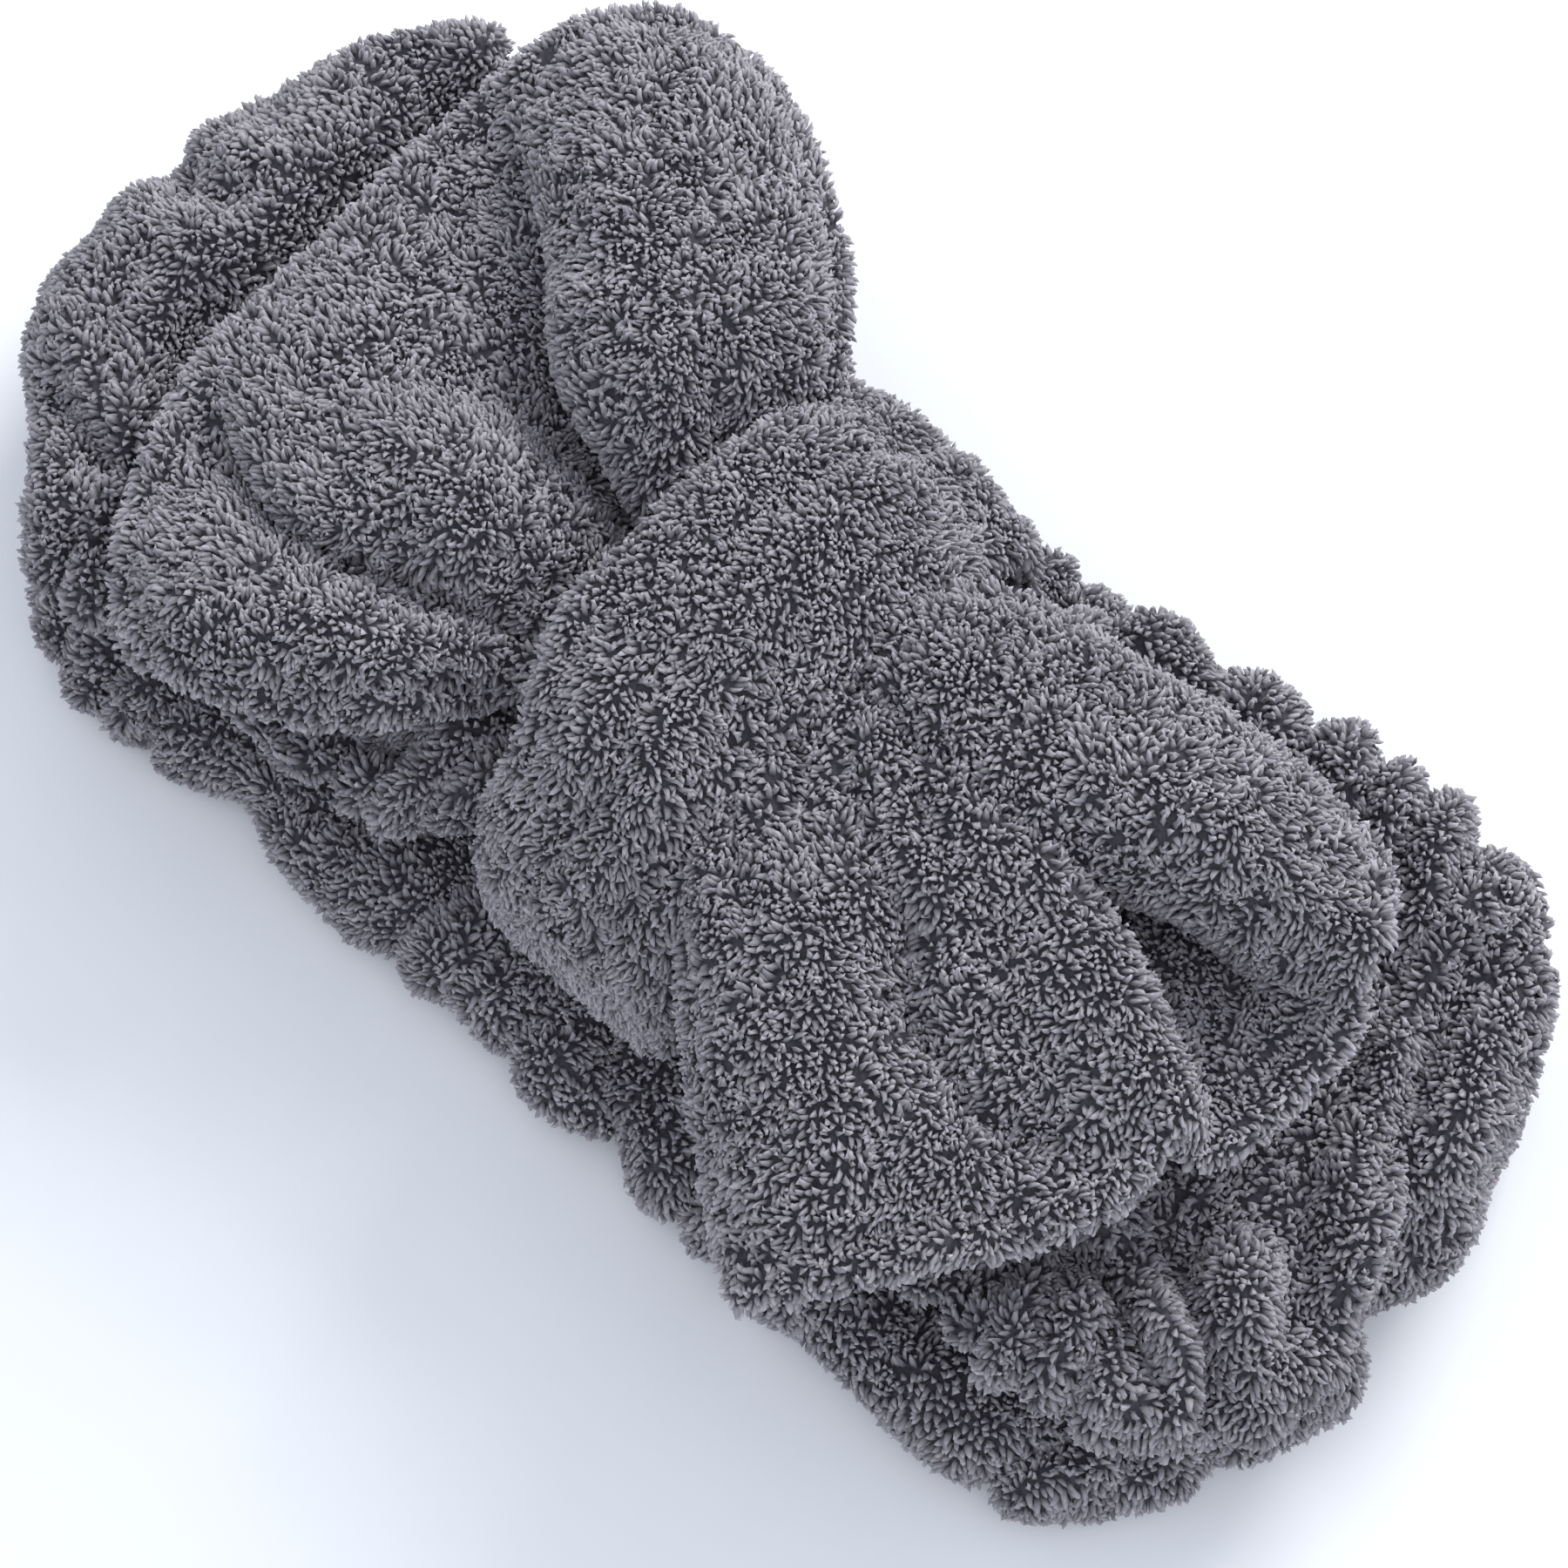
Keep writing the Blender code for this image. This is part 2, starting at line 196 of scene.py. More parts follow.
class Nodes:
    """A material's node tree, with short ways to add nodes and links."""

    def __init__(self, name, roughness):
        self.material = bpy.data.materials.new(name)
        self.material.use_nodes = True
        self.tree = self.material.node_tree
        self.shader = self.tree.nodes["Principled BSDF"]
        self.shader.inputs["Roughness"].default_value = roughness
        self.shader.inputs["Specular IOR Level"].default_value = 0.25
        place = self.tree.nodes.new("ShaderNodeTexCoord")
        self.place = place.outputs["Object"]

    def add(self, kind, **values):
        node = self.tree.nodes.new(kind)
        for key, value in values.items():
            if hasattr(node, key):
                setattr(node, key, value)
            else:
                node.inputs[key.replace("_", " ")].default_value = value
        return node

    def link(self, source, target):
        self.tree.links.new(source, target)
        return target.node

    def noise(self, scale, detail=3.0, roughness=0.6):
        node = self.add("ShaderNodeTexNoise", Scale=scale, Detail=detail, Roughness=roughness)
        self.link(self.place, node.inputs["Vector"])
        return node.outputs["Fac"]

    def attribute(self, name):
        return self.add("ShaderNodeAttribute", attribute_name=name).outputs["Fac"]

    def remap(self, value, low, high):
        node = self.add("ShaderNodeMapRange", To_Min=low, To_Max=high)
        self.link(value, node.inputs["Value"])
        return node.outputs["Result"]

    def math(self, operation, first, second):
        node = self.add("ShaderNodeMath", operation=operation)
        for value, socket in zip((first, second), node.inputs):
            if isinstance(value, (int, float)):
                socket.default_value = value
            else:
                self.link(value, socket)
        return node.outputs[0]

    def ramp(self, value, stops):
        node = self.add("ShaderNodeValToRGB")
        elements = node.color_ramp.elements
        while len(elements) < len(stops):
            elements.new(0.5)
        for element, (position, colour) in zip(elements, stops):
            element.position = position
            element.color = (*colour, 1)
        self.link(value, node.inputs["Fac"])
        return node.outputs["Color"]

    def scale(self, colour, factor):
        node = self.add("ShaderNodeVectorMath", operation="SCALE")
        self.link(colour, node.inputs[0])
        self.link(factor, node.inputs["Scale"])
        return node.outputs["Vector"]

    def relief(self, height, strength, distance):
        node = self.add("ShaderNodeBump", Strength=strength, Distance=distance)
        self.link(height, node.inputs["Height"])
        self.link(node.outputs["Normal"], self.shader.inputs["Normal"])

    def finish(self, colour, roughness=None):
        self.link(colour, self.shader.inputs["Base Color"])
        if roughness is not None:
            self.link(roughness, self.shader.inputs["Roughness"])
        return self.material


# Pile colour up each lock, root to tip: the dark roots are painted shade down among the locks.
PILE_COLOURS = [
    (0.0, (0.122, 0.115, 0.129)),
    (0.4, (0.252, 0.238, 0.264)),
    (0.8, (0.350, 0.332, 0.364)),
    (1.0, (0.408, 0.388, 0.424)),
]


def pile_material():
    """Curly locks of fibre: dark at the root as painted shade down among the locks, pale at the tip, each
    lock a little lighter or darker, and paler along the hems as a painted highlight.
    """
    nodes = Nodes("fleece_pile", 0.85)
    nodes.shader.inputs["Sheen Weight"].default_value = 0.25
    nodes.shader.inputs["Sheen Roughness"].default_value = 0.6
    nodes.shader.inputs["Sheen Tint"].default_value = (0.80, 0.79, 0.86, 1)
    fibres = nodes.noise(2600)
    rise = nodes.math("ADD", nodes.attribute("rise"), nodes.remap(fibres, -0.12, 0.12))
    tone = nodes.math("MULTIPLY", nodes.attribute("tone"), nodes.remap(nodes.noise(70, 2), 0.84, 1.16))
    colour = nodes.scale(nodes.ramp(rise, PILE_COLOURS), tone)
    nodes.relief(fibres, 0.5, 0.0002)
    return nodes.finish(colour, nodes.remap(nodes.noise(900), 0.75, 0.95))


def backing_material():
    """The knitted ground that the pile grows from, coloured dark as painted shade between the locks."""
    nodes = Nodes("fleece_backing", 0.95)
    knit = nodes.noise(1500)
    # Dark colour: painted shade in the gaps between the locks.
    colour = nodes.ramp(knit, [(0.3, (0.032, 0.030, 0.038)), (0.7, (0.080, 0.076, 0.091))])
    nodes.relief(knit, 0.6, 0.0003)
    return nodes.finish(colour, nodes.remap(knit, 0.85, 1.0))


def woven_material(name, dark, light, pitch):
    """Tape or thread with fine ribs across it."""
    nodes = Nodes(name, 0.7)
    ribs = nodes.add("ShaderNodeTexWave", Scale=pitch, Distortion=1.5, Detail=2.0)
    nodes.link(nodes.place, ribs.inputs["Vector"])
    worn = nodes.math("MULTIPLY", ribs.outputs["Fac"], nodes.remap(nodes.noise(300), 0.6, 1.2))
    nodes.relief(ribs.outputs["Fac"], 0.5, 0.0003)
    colour = nodes.ramp(worn, [(0.1, dark), (0.9, light)])
    return nodes.finish(colour, nodes.remap(ribs.outputs["Fac"], 0.6, 0.85))


pile = pile_material()
backing = backing_material()
elastic = woven_material("elastic_tape", (0.48, 0.47, 0.44), (0.80, 0.79, 0.76), 900)
thread = woven_material("sewing_thread", (0.020, 0.018, 0.024), (0.085, 0.080, 0.095), 1600)

for name, node in frame["nodes"].items():
    node.data.materials.clear()
    node.data.materials.append(elastic if name.startswith("elastic") and "stitch" not in name else thread)

# ---------------------------------------------------------------- the pile

CANDIDATES = 4  # random places tried for each lock that there is room for
LOCKS_PER_PIECE = 12000
LOCK_GAP = 0.86  # the least gap between two locks, as a share of the spacing
NO_PILE = 99  # a spacing that means that nothing grows there
BOW_SPACING, BOW_UNDER_SPACING = 0.65, 1.05  # of the locks, and wider where little is seen of them
KNOT_INWARD_SPACING = 1.2
BAND_SPACING, BAND_UNDER_SPACING, BAND_INNER_SPACING = 0.72, 1.15, 2.0
WAIST_SPACING = 1.5
LOCK_LENGTH = 2.0
WAIST_LOCK_LENGTH = 2.5
LEAN, KNOT_LEAN = 0.85, 0.9  # how far the locks lean over, in radians
LOCK_SINK = 0.35  # a lock's root starts this far under the fabric
LOCK_HALF_WIDTH = 0.62  # as a share of the spacing
LOWEST = 0.25  # the pile's lowest height over the floor
HEM_HIGHLIGHT, HEM_HIGHLIGHT_WIDTH = 0.22, 1.6  # painted highlight: the pile along the hems is a little paler, as if its tips caught the light
LOCK_STEPS = (0.40, 0.37, 0.23)  # shares of a lock's length between its rings, root to tip
LOCK_RADII = (0.85, 1.0, 0.72)  # of its half width, at each ring


def spread(points, faces, spacing_of):
    """Evenly spread random places on the faces, with the surface's normal there."""
    tris = np.concatenate([faces[:, :3], faces[:, [0, 2, 3]]])
    corners = points[tris]
    cross = np.cross(corners[:, 1] - corners[:, 0], corners[:, 2] - corners[:, 0])
    normals = np.zeros_like(points)
    for corner in range(3):
        np.add.at(normals, tris[:, corner], cross)
    area = np.linalg.norm(cross, axis=1) / 2
    middles = corners.mean(axis=1)
    spacing = spacing_of(middles, unit(cross)) * (1 + 0.3 * lumps(middles, 5, 77)[:, 0])
    wanted = np.where(spacing < NO_PILE / 2, CANDIDATES * area / spacing**2, 0)
    chosen = rng.choice(len(tris), size=int(wanted.sum()), p=wanted / wanted.sum())
    weights = rng.dirichlet((1, 1, 1), len(chosen))
    places = (points[tris[chosen]] * weights[..., None]).sum(axis=1)
    facing = unit((unit(normals)[tris[chosen]] * weights[..., None]).sum(axis=1))
    gap = spacing[chosen] * LOCK_GAP
    tree = kd_tree(places)
    free = np.ones(len(places), bool)
    kept = []
    for i, place in enumerate(places):
        if free[i]:
            kept.append(i)
            for _, other, _ in tree.find_range(place, gap[i]):
                free[other] = False
    return places[kept], facing[kept], spacing[chosen][kept]


def nap(places, facing, comb, seed):
    """The way that each lock leans: the combed way, swirls of a few locks, and each lock's own turn."""
    way = comb + lumps(places, 13, seed) * 1.7 + lumps(places, 2.8, seed + 5) * 2.3
    way = way + rng.normal(0, 0.35, places.shape)
    way -= (way * facing).sum(axis=1, keepdims=True) * facing
    return unit(way)


def grow(name, surface, spacing_of, comb, lean, length, seed, hem=None):
    """Meshes of curved, tapered locks standing on a surface, with at most LOCKS_PER_PIECE in each."""
    places, facing, spacing = spread(*surface, spacing_of)
    # Locks near the hem are made paler, a painted highlight along the wings' hems.
    hem_highlight = np.ones(len(places))
    if hem is not None:
        line = kd_tree(hem)
        from_hem = np.array([line.find(place)[2] for place in places])
        hem_highlight += HEM_HIGHLIGHT * bump(from_hem, HEM_HIGHLIGHT_WIDTH)
    order = np.argsort(places @ U_AXIS)
    pieces = []
    count = math.ceil(len(order) / LOCKS_PER_PIECE)
    for number, chosen in enumerate(np.array_split(order, count)):
        full_name = f"{name}_{number + 1}" if count > 1 else name
        pieces.append(lock_mesh(full_name, places[chosen], facing[chosen], spacing[chosen], hem_highlight[chosen],
                                comb, lean, length, seed))
    return pieces


def lock_rings(places, facing, way, lean, curl, long, half_width):
    """Each lock's three rings of three points and its tip, and how far up the lock each point is."""
    side = np.cross(facing, way)
    centre = places - facing * LOCK_SINK
    rings, steps, reach = [], [], 0.0
    for step, radius in zip(LOCK_STEPS, LOCK_RADII):
        tilt = lean * (0.45 + reach)
        turned = way * np.cos(curl * reach)[:, None] + side * np.sin(curl * reach)[:, None]
        along = facing * np.cos(tilt)[:, None] + turned * np.sin(tilt)[:, None]
        across = unit(np.cross(along, side + 0.3 * facing))
        third = np.cross(along, across)
        for corner in range(3):
            angle = 0.3 + corner * math.tau / 3
            offset = across * math.cos(angle) + third * math.sin(angle)
            rings.append(centre + offset * (radius * half_width)[:, None])
            steps.append(reach)
        centre = centre + along * (step * long)[:, None]
        reach += step
    rings.append(centre)
    steps.append(1.0)
    verts = np.stack(rings, axis=1)
    verts[..., 2] = np.maximum(verts[..., 2], LOWEST)
    return verts, steps


def lock_mesh(name, places, facing, spacing, hem_highlight, comb, lean, length, seed):
    """One mesh of many locks, with each point's rise up its lock and each lock's tone, which holds the
    painted highlight along the hems.
    """
    way = nap(places, facing, np.array(comb, float), seed)
    count = len(places)
    lean = lean + lumps(places, 8, seed + 9)[:, 0] * 0.4 + rng.normal(0, 0.2, count)
    curl = rng.normal(0, 1.6, count)
    long = length * rng.uniform(0.8, 1.2, count)
    half_width = LOCK_HALF_WIDTH * spacing * rng.uniform(0.85, 1.15, count)
    verts, steps = lock_rings(places, facing, way, lean, curl, long, half_width)
    lock_points = len(steps)
    lock = []
    for low in (0, 3):
        for i in range(3):
            j = (i + 1) % 3
            lock += [(low + i, low + j, low + 3 + j), (low + i, low + 3 + j, low + 3 + i)]
    lock += [(6, 7, 9), (7, 8, 9), (8, 6, 9), (0, 2, 1)]
    lock = np.array(lock)
    a, b, c = (verts[0][lock[:, i]] for i in range(3))
    if (a * np.cross(b, c)).sum() < 0:
        lock = lock[:, ::-1]
    faces = (lock[None] + lock_points * np.arange(count)[:, None, None]).reshape(-1, 3)
    obj = mesh_object(name, verts.reshape(-1, 3), faces, pile)
    # Each lock's tone: a random shade, times the painted highlight near the hems.
    tone = hem_highlight * np.clip(rng.normal(1, 0.12, count), 0.7, 1.35)
    for key, values in (("rise", np.tile(steps, count)), ("tone", np.repeat(tone, lock_points))):
        obj.data.attributes.new(key, "FLOAT", "POINT").data.foreach_set("value", values.astype(np.float32))
    return obj


# ---------------------------------------------------------------- the bow's lines

# Each line has five places, from the root inside the knot to the hem: u, v and height over the front layer.
# Together the lines are the wing's edges, crests and folds, from its -v to its +v edge.
LEFT_WING = (
    ((-4, -14, 10), (-17.5, -21, 9), (-24, -38, 8.5), (-38, -50, 8), (-53, -52.5, 7.5)),
    ((-4, -11, 12), (-18, -19.5, 13), (-28, -34, 15), (-43, -44.5, 14), (-61, -45.5, 9)),
    ((-4, -8, 11), (-19, -16.5, 12), (-31, -27, 12), (-46, -34.5, 12), (-67, -37.5, 9.5)),
    ((-4, -6, 10), (-19, -12, 9.5), (-33, -21, 4), (-48, -28, 4.5), (-70, -32, 9.5)),
    ((-4, -6, 11), (-19, -12, 11), (-34, -18.5, 8), (-49, -25, 8), (-72, -27, 10)),
    ((-4, -5, 13), (-19, -13.5, 14), (-34.5, -22.5, 15.5), (-50, -29.5, 14.5), (-73.5, -21, 10)),
    ((-4, -2.5, 14), (-21, -9, 17), (-38, -14, 18), (-55, -18, 15.5), (-76, -9, 10.5)),
    ((-4, 0, 13.5), (-22, -4, 14.5), (-39, -7, 14.5), (-57, -6, 13), (-78, 1, 10.5)),
    ((-4, 3, 10), (-22, 1, 8), (-39, 0, 7), (-57, 5, 9.5), (-80, 10, 10.5)),
    ((-4, 5, 10), (-22, 8.5, 5), (-40, 12, 4.5), (-57.5, 21.5, 8.5), (-80.5, 17, 11)),
    ((-4, 4.5, 12), (-22, 6, 11), (-39.5, 9.5, 11), (-56, 18.5, 11.5), (-80.5, 23, 11.5)),
    ((-4, 5, 15), (-22, 4, 17.5), (-39.5, 5.5, 18.5), (-55, 15.5, 17.5), (-80, 29, 13)),
    ((-4, 8, 16.5), (-21, 12, 20.5), (-40, 19, 22.5), (-58, 29, 21), (-79, 37, 14)),
    ((-4, 11, 13.5), (-19, 20, 17), (-37, 33, 18), (-57, 42, 16.5), (-75.5, 44.5, 12)),
    ((-4, 14, 10), (-17, 25, 11), (-36, 41.5, 11), (-56, 49.5, 10), (-68, 50, 9.5)),
)
RIGHT_WING = (
    ((4, -16, 8), (13, -21, 9), (26, -29.5, 9), (41, -39, 8.5), (56, -47, 7.5)),
    ((4, -10, 12.5), (14, -16.5, 15.5), (28, -26, 16.5), (44, -35, 15.5), (60, -41, 10.5)),
    ((4, -4, 15), (15, -9.5, 18), (31, -17.5, 19), (47, -24, 17.5), (66, -30, 12)),
    ((4, -1, 15), (17, -4, 17.5), (34, -8.5, 18), (50, -12.5, 16.5), (71, -19, 12)),
    ((4, 1, 16), (17, 0.5, 18.5), (34, -1, 19), (51, -3, 18), (74, -9, 12.5)),
    ((4, 3, 16.5), (17, 4.5, 19), (34, 7.2, 19.5), (52, 7.8, 19), (72.5, 2, 15)),
    ((4, 4, 14.5), (18, 6.5, 15), (35, 7, 12.5), (53, 6.5, 10.5), (75.5, 2.5, 10)),
    ((4, 4.5, 13), (18, 8, 12), (36, 10, 6), (55, 12, 4.5), (77, 8, 9)),
    ((4, 6, 13), (18, 11, 11), (36, 15.5, 5.5), (56, 24, 4.5), (76, 19, 9.5)),
    ((4, 6.5, 14), (18, 9.5, 14), (35, 12.5, 11.5), (54, 21, 11), (74.5, 25.5, 10.5)),
    ((4, 7, 15.5), (17, 7.5, 18), (34, 8.8, 18), (52.3, 18.6, 17.5), (71, 29, 15.5)),
    ((4, 9, 16.5), (16, 13, 20.5), (32, 18, 22), (50, 25, 22), (70, 32.5, 17)),
    ((4, 14, 15), (14, 22.5, 18), (30, 29.5, 18), (49, 35.5, 17), (66, 37, 13.5)),
    ((4, 18, 12.5), (12, 27.5, 13), (27, 34, 10), (48, 39.5, 10), (61, 40.5, 10)),
)
DIMPLE_WIDTH = 3.2
DIMPLES = (  # on top of the wings: a path in u and v, and its depth
    (((36, -7), (40, -12), (46, -14)), 4.0),
    (((51, -14), (57.5, -14.5), (62, -10.5)), 3.4),
    (((-34, 20), (-28, 15), (-24, 14)), 2.4),
)


def hem_of(lines):
    """The places along a wing's free edge, and a little way in along its two sides."""
    return [*lines[0][2:], *(line[-1] for line in lines[1:-1]), *reversed(lines[-1][2:])]


LEFT_HEM, RIGHT_HEM = hem_of(LEFT_WING), hem_of(RIGHT_WING)

# ---------------------------------------------------------------- the band

RINGS = 230
FLAT_POINTS = 60  # of a ring, across the top of a layer and again across its underside
ROUND_POINTS = 16  # round each of a ring's two edges
PER_RING = 2 * (FLAT_POINTS + ROUND_POINTS)
HEM_SINK, HEM_SINK_WIDTH = 6.5, 4.5  # the band gives way under the bow's hems
HEM_RISE, HEM_RISE_PLACE, HEM_RISE_WIDTH = 3.0, 10.5, 4.5  # and swells up again beside them
PUFF_PITCH = 13.5  # between the gathers that the elastic draws into the sleeve
PUFF_HEIGHT, PUFF_EDGE_HEIGHT = 1.5, 2.6  # of the puffs between them, and how much more along the edges
PUFF_MEAN = 0.55  # what is over this level rises out of the fabric, and the rest sinks in
BROAD_LUMP, BROAD_LUMP_SIZE = 1.3, 21  # the fabric's unevenness: its height and how wide it is
FINE_LUMP, FINE_LUMP_SIZE = 0.9, 9
CROWN = 1.6  # how far the loop's top bulges along its middle
CINCH_HALF_WIDTH = 29.0  # half the front layer's width inside the knot
CINCH_PLEAT, CINCH_PLEAT_PITCH = 1.4, 13  # the pleats that it is drawn into there
CINCH_HOLD, CINCH_REACH = 11.0, 27.0  # from the knot's middle: drawn in fully, and no longer drawn in
EDGE_DRAW, EDGE_DRAW_PLACE, EDGE_DRAW_FADE = 4.5, 25, 45  # how far in each edge is drawn near the knot
FOLD_DROP = 3.0  # how much lower the loop's top is at its folded ends
FOLD_DROP_START, FOLD_DROP_RUN = 66, 30  # where it starts to drop, and how far on it has dropped fully
TOP_ANGLE = 2.2  # in radians round the fold, where the crown, the creases and the bow's mark end
ELASTIC_COVER = 2.0  # the least that the base fabric lies off the middle of its layer
COVERED_HALF_WIDTH = 13.0  # where the elastic runs, this far either side of the band's middle
FABRIC_LOWEST = 1.1  # the base fabric's lowest height over the floor
END_CORNER = {-1: 33.0, 1: 27.0}  # each folded end's corner radius
END_SETBACK = {-1: 1.0, 1: 0.5}  # the pile rounds the folds off, so the fabric stops this much short
SIDE_SETBACK = 0.4
FRONT_SETBACK = {-1: 3.0, 1: 7.5}  # the front layer's -y edge lies this far inside the back layer's
LEFT_SKEW = 12.5  # the left fold's -y corner is drawn in this far
FRONT_SHARE, FOLD_SHARE = 0.37, 0.62  # of the rings, where the pile's front and fold pieces end
SHOULDER = 0.4  # each crease has a swelling beside it, this share of its depth
SHOULDER_PLACE, SHOULDER_WIDTH = 2.4, 1.3  # in widths of the crease
LEFT_CREASES = (  # paths in x and y, and each one's depth and width
    (((-72, 44), (-76, 36), (-75, 22), (-74, 8), (-76, -8), (-75, -19), (-69, -28), (-66, -37)), 6.0, 5.5),
    (((-92, -27), (-80, -32), (-71, -27)), 3.5, 3.0),
    (((-104, 8), (-92, 4), (-86, 6)), 2.5, 3.0),
)
RIGHT_CREASES = (
    (((79, 12), (83, 1), (90, -4.5), (96, -11)), 6.0, 3.2),
    (((85, 32), (87, 24), (92.5, 12.5), (99, 3), (103, -5)), 4.0, 3.0),
    (((73, -24), (81, -29), (88, -34)), 3.5, 2.6),
    (((83, -16), (90.5, -23), (98, -28)), 4.0, 2.6),
    (((60, -33), (66, -38), (68, -46)), 3.0, 2.6),
)


def folded_half_width(x, side):
    """Half the band's width at x, which rounds off at its folded end."""
    corner = END_CORNER[side]
    past = np.maximum(x - (BAND_END - corner), 0)
    return BAND_HALF_WIDTH - SIDE_SETBACK - corner + np.sqrt(np.maximum(corner**2 - past**2, 0))


def band_rings(side):
    """One half of the loop, from the middle of the front layer round the fold to the middle of the back."""
    arc = math.pi * TURN_RADIUS
    total = 2 * TURN_X + arc
    run = np.linspace(0, total, RINGS)
    angle = np.clip((run - TURN_X) / TURN_RADIUS, 0, math.pi)
    out_x, out_z = np.sin(angle), np.cos(angle)
    straight = np.where(run < TURN_X, run, np.where(run > TURN_X + arc, total - run, TURN_X))
    x = straight + TURN_RADIUS * out_x
    z = TURN_Z + TURN_RADIUS * out_z
    half_width = folded_half_width(x + out_x * LAYER / 2, side) - PILE
    front = (angle < 0.01).astype(float)
    knot_gap = np.abs(side * x - KNOT_X)
    cinch = front * (1 - smooth((knot_gap - CINCH_HOLD) / (CINCH_REACH - CINCH_HOLD)))
    half_width = half_width - EDGE_DRAW * front * (1 - smooth((knot_gap - EDGE_DRAW_PLACE) / EDGE_DRAW_FADE))
    half_width = half_width + (CINCH_HALF_WIDTH - half_width) * cinch
    radius = LAYER / 2 - PILE
    flat = np.linspace(1, -1, FLAT_POINTS)
    turn = np.linspace(0, math.pi, ROUND_POINTS + 2)[1:-1]
    place = np.concatenate([flat, -np.ones(ROUND_POINTS), -flat, np.ones(ROUND_POINTS)])
    edge = np.concatenate([np.full(FLAT_POINTS, math.pi / 2), math.pi / 2 + turn,
                           np.full(FLAT_POINTS, 1.5 * math.pi), 1.5 * math.pi + turn])
    ups, acrosses = np.sin(edge), np.cos(edge)
    across = place * (half_width[:, None] - radius) + radius * acrosses
    up = radius * ups * np.ones_like(across)
    x, z, out_x, out_z = (values[:, None] for values in (x, z, out_x, out_z))
    points = np.stack([side * (x + out_x * up), across, z + out_z * up], -1)
    normals = np.stack([side * out_x * ups, acrosses * np.ones_like(across), out_z * ups], -1)
    return run, angle, cinch, across / half_width[:, None], ups, points, normals


def puff(run, across):
    """Rounded puffs between gathers, from 0 in a gather to 1 on a puff."""
    phase = run / PUFF_PITCH + 0.75 * np.sin(run / 17 + 1.1) + 0.45 * np.sin(run / 7.3 + across / 11)
    phase = phase + 0.35 * np.sin(across / 14 + run / 29) + 0.012 * across
    return np.abs(np.sin(math.pi * phase)) ** 0.65


def band_relief(side, run, angle, cinch, share, ups, points):
    """How far the band's fabric stands out from its rings: puffs, pleats, creases and the mark of the bow."""
    top = np.broadcast_to(ups > 0, share.shape) * (angle < TOP_ANGLE)[:, None]
    edge = np.abs(share) ** 3
    signed = side * run[:, None] * np.ones_like(share)
    puffs = puff(signed, points[..., 1]) - PUFF_MEAN
    fade = smooth((run[-1] - run) / 8)[:, None] * smooth((run + 4) / 12)[:, None]
    height = (PUFF_HEIGHT + PUFF_EDGE_HEIGHT * edge) * puffs * fade
    height = height + BROAD_LUMP * lumps(points, BROAD_LUMP_SIZE, 3)[..., 0]
    height = height + FINE_LUMP * lumps(points, FINE_LUMP_SIZE, 4)[..., 1]
    pleat = np.cos(points[..., 1] * math.tau / CINCH_PLEAT_PITCH + 0.6 * np.sin(signed / 11))
    height = height + CINCH_PLEAT * cinch[:, None] * pleat
    crown = CROWN * (1 - share**2) * np.abs(ups)
    height = height + crown * top
    for path, depth, width in LEFT_CREASES if side < 0 else RIGHT_CREASES:
        from_crease = distance_to(path, points)
        height = height - depth * bump(from_crease, width) * top
        beside = bump(from_crease - SHOULDER_PLACE * width, SHOULDER_WIDTH * width)
        height = height + SHOULDER * depth * beside * top
    height = height - FOLD_DROP * smooth((np.abs(points[..., 0]) - FOLD_DROP_START) / FOLD_DROP_RUN) * top
    hem = bow_to_row(np.array(LEFT_HEM if side < 0 else RIGHT_HEM))[:, :2]
    from_hem = distance_to(hem, points)
    height = height - HEM_SINK * bump(from_hem, HEM_SINK_WIDTH) * top
    height = height + HEM_RISE * bump(from_hem - HEM_RISE_PLACE, HEM_RISE_WIDTH) * (0.4 + 0.6 * puffs) * top
    return height


def band_half(side):
    """The base fabric of one half of the band: points, the skin's quads, and those with its ends closed."""
    run, angle, cinch, share, ups, points, normals = band_rings(side)
    height = band_relief(side, run, angle, cinch, share, ups, points)
    over_elastic = 1 - smooth((np.abs(points[..., 1]) - COVERED_HALF_WIDTH) / 4)
    height = np.maximum(height, ELASTIC_COVER * over_elastic - (LAYER / 2 - PILE))
    points = points + normals * height[..., None]
    x, y = points[..., 0], points[..., 1]
    drawn = END_SETBACK[side] * smooth((np.abs(x) - 60) / 40) * (1 - over_elastic)
    if side < 0:
        drawn = drawn + LEFT_SKEW * smooth((-y - COVERED_HALF_WIDTH) / 20) * smooth((np.abs(x) - 55) / 45)
    points[..., 0] = x - side * drawn
    points[..., 1] = y + FRONT_SETBACK[side] * smooth(1 - angle / 0.9)[:, None] * smooth((-y - 18) / 20)
    points[..., 2] = np.maximum(points[..., 2], FABRIC_LOWEST)
    rings = np.arange(share.size).reshape(share.shape)
    after = np.roll(rings, -1, axis=1)
    faces = np.stack([rings[:-1], after[:-1], after[1:], rings[1:]], -1).reshape(-1, 4)
    if side < 0:
        faces = faces[:, ::-1]
    caps = end_caps(rings, FLAT_POINTS // 2, (side < 0, side > 0))
    return points.reshape(-1, 3), faces, np.concatenate([faces, *caps])


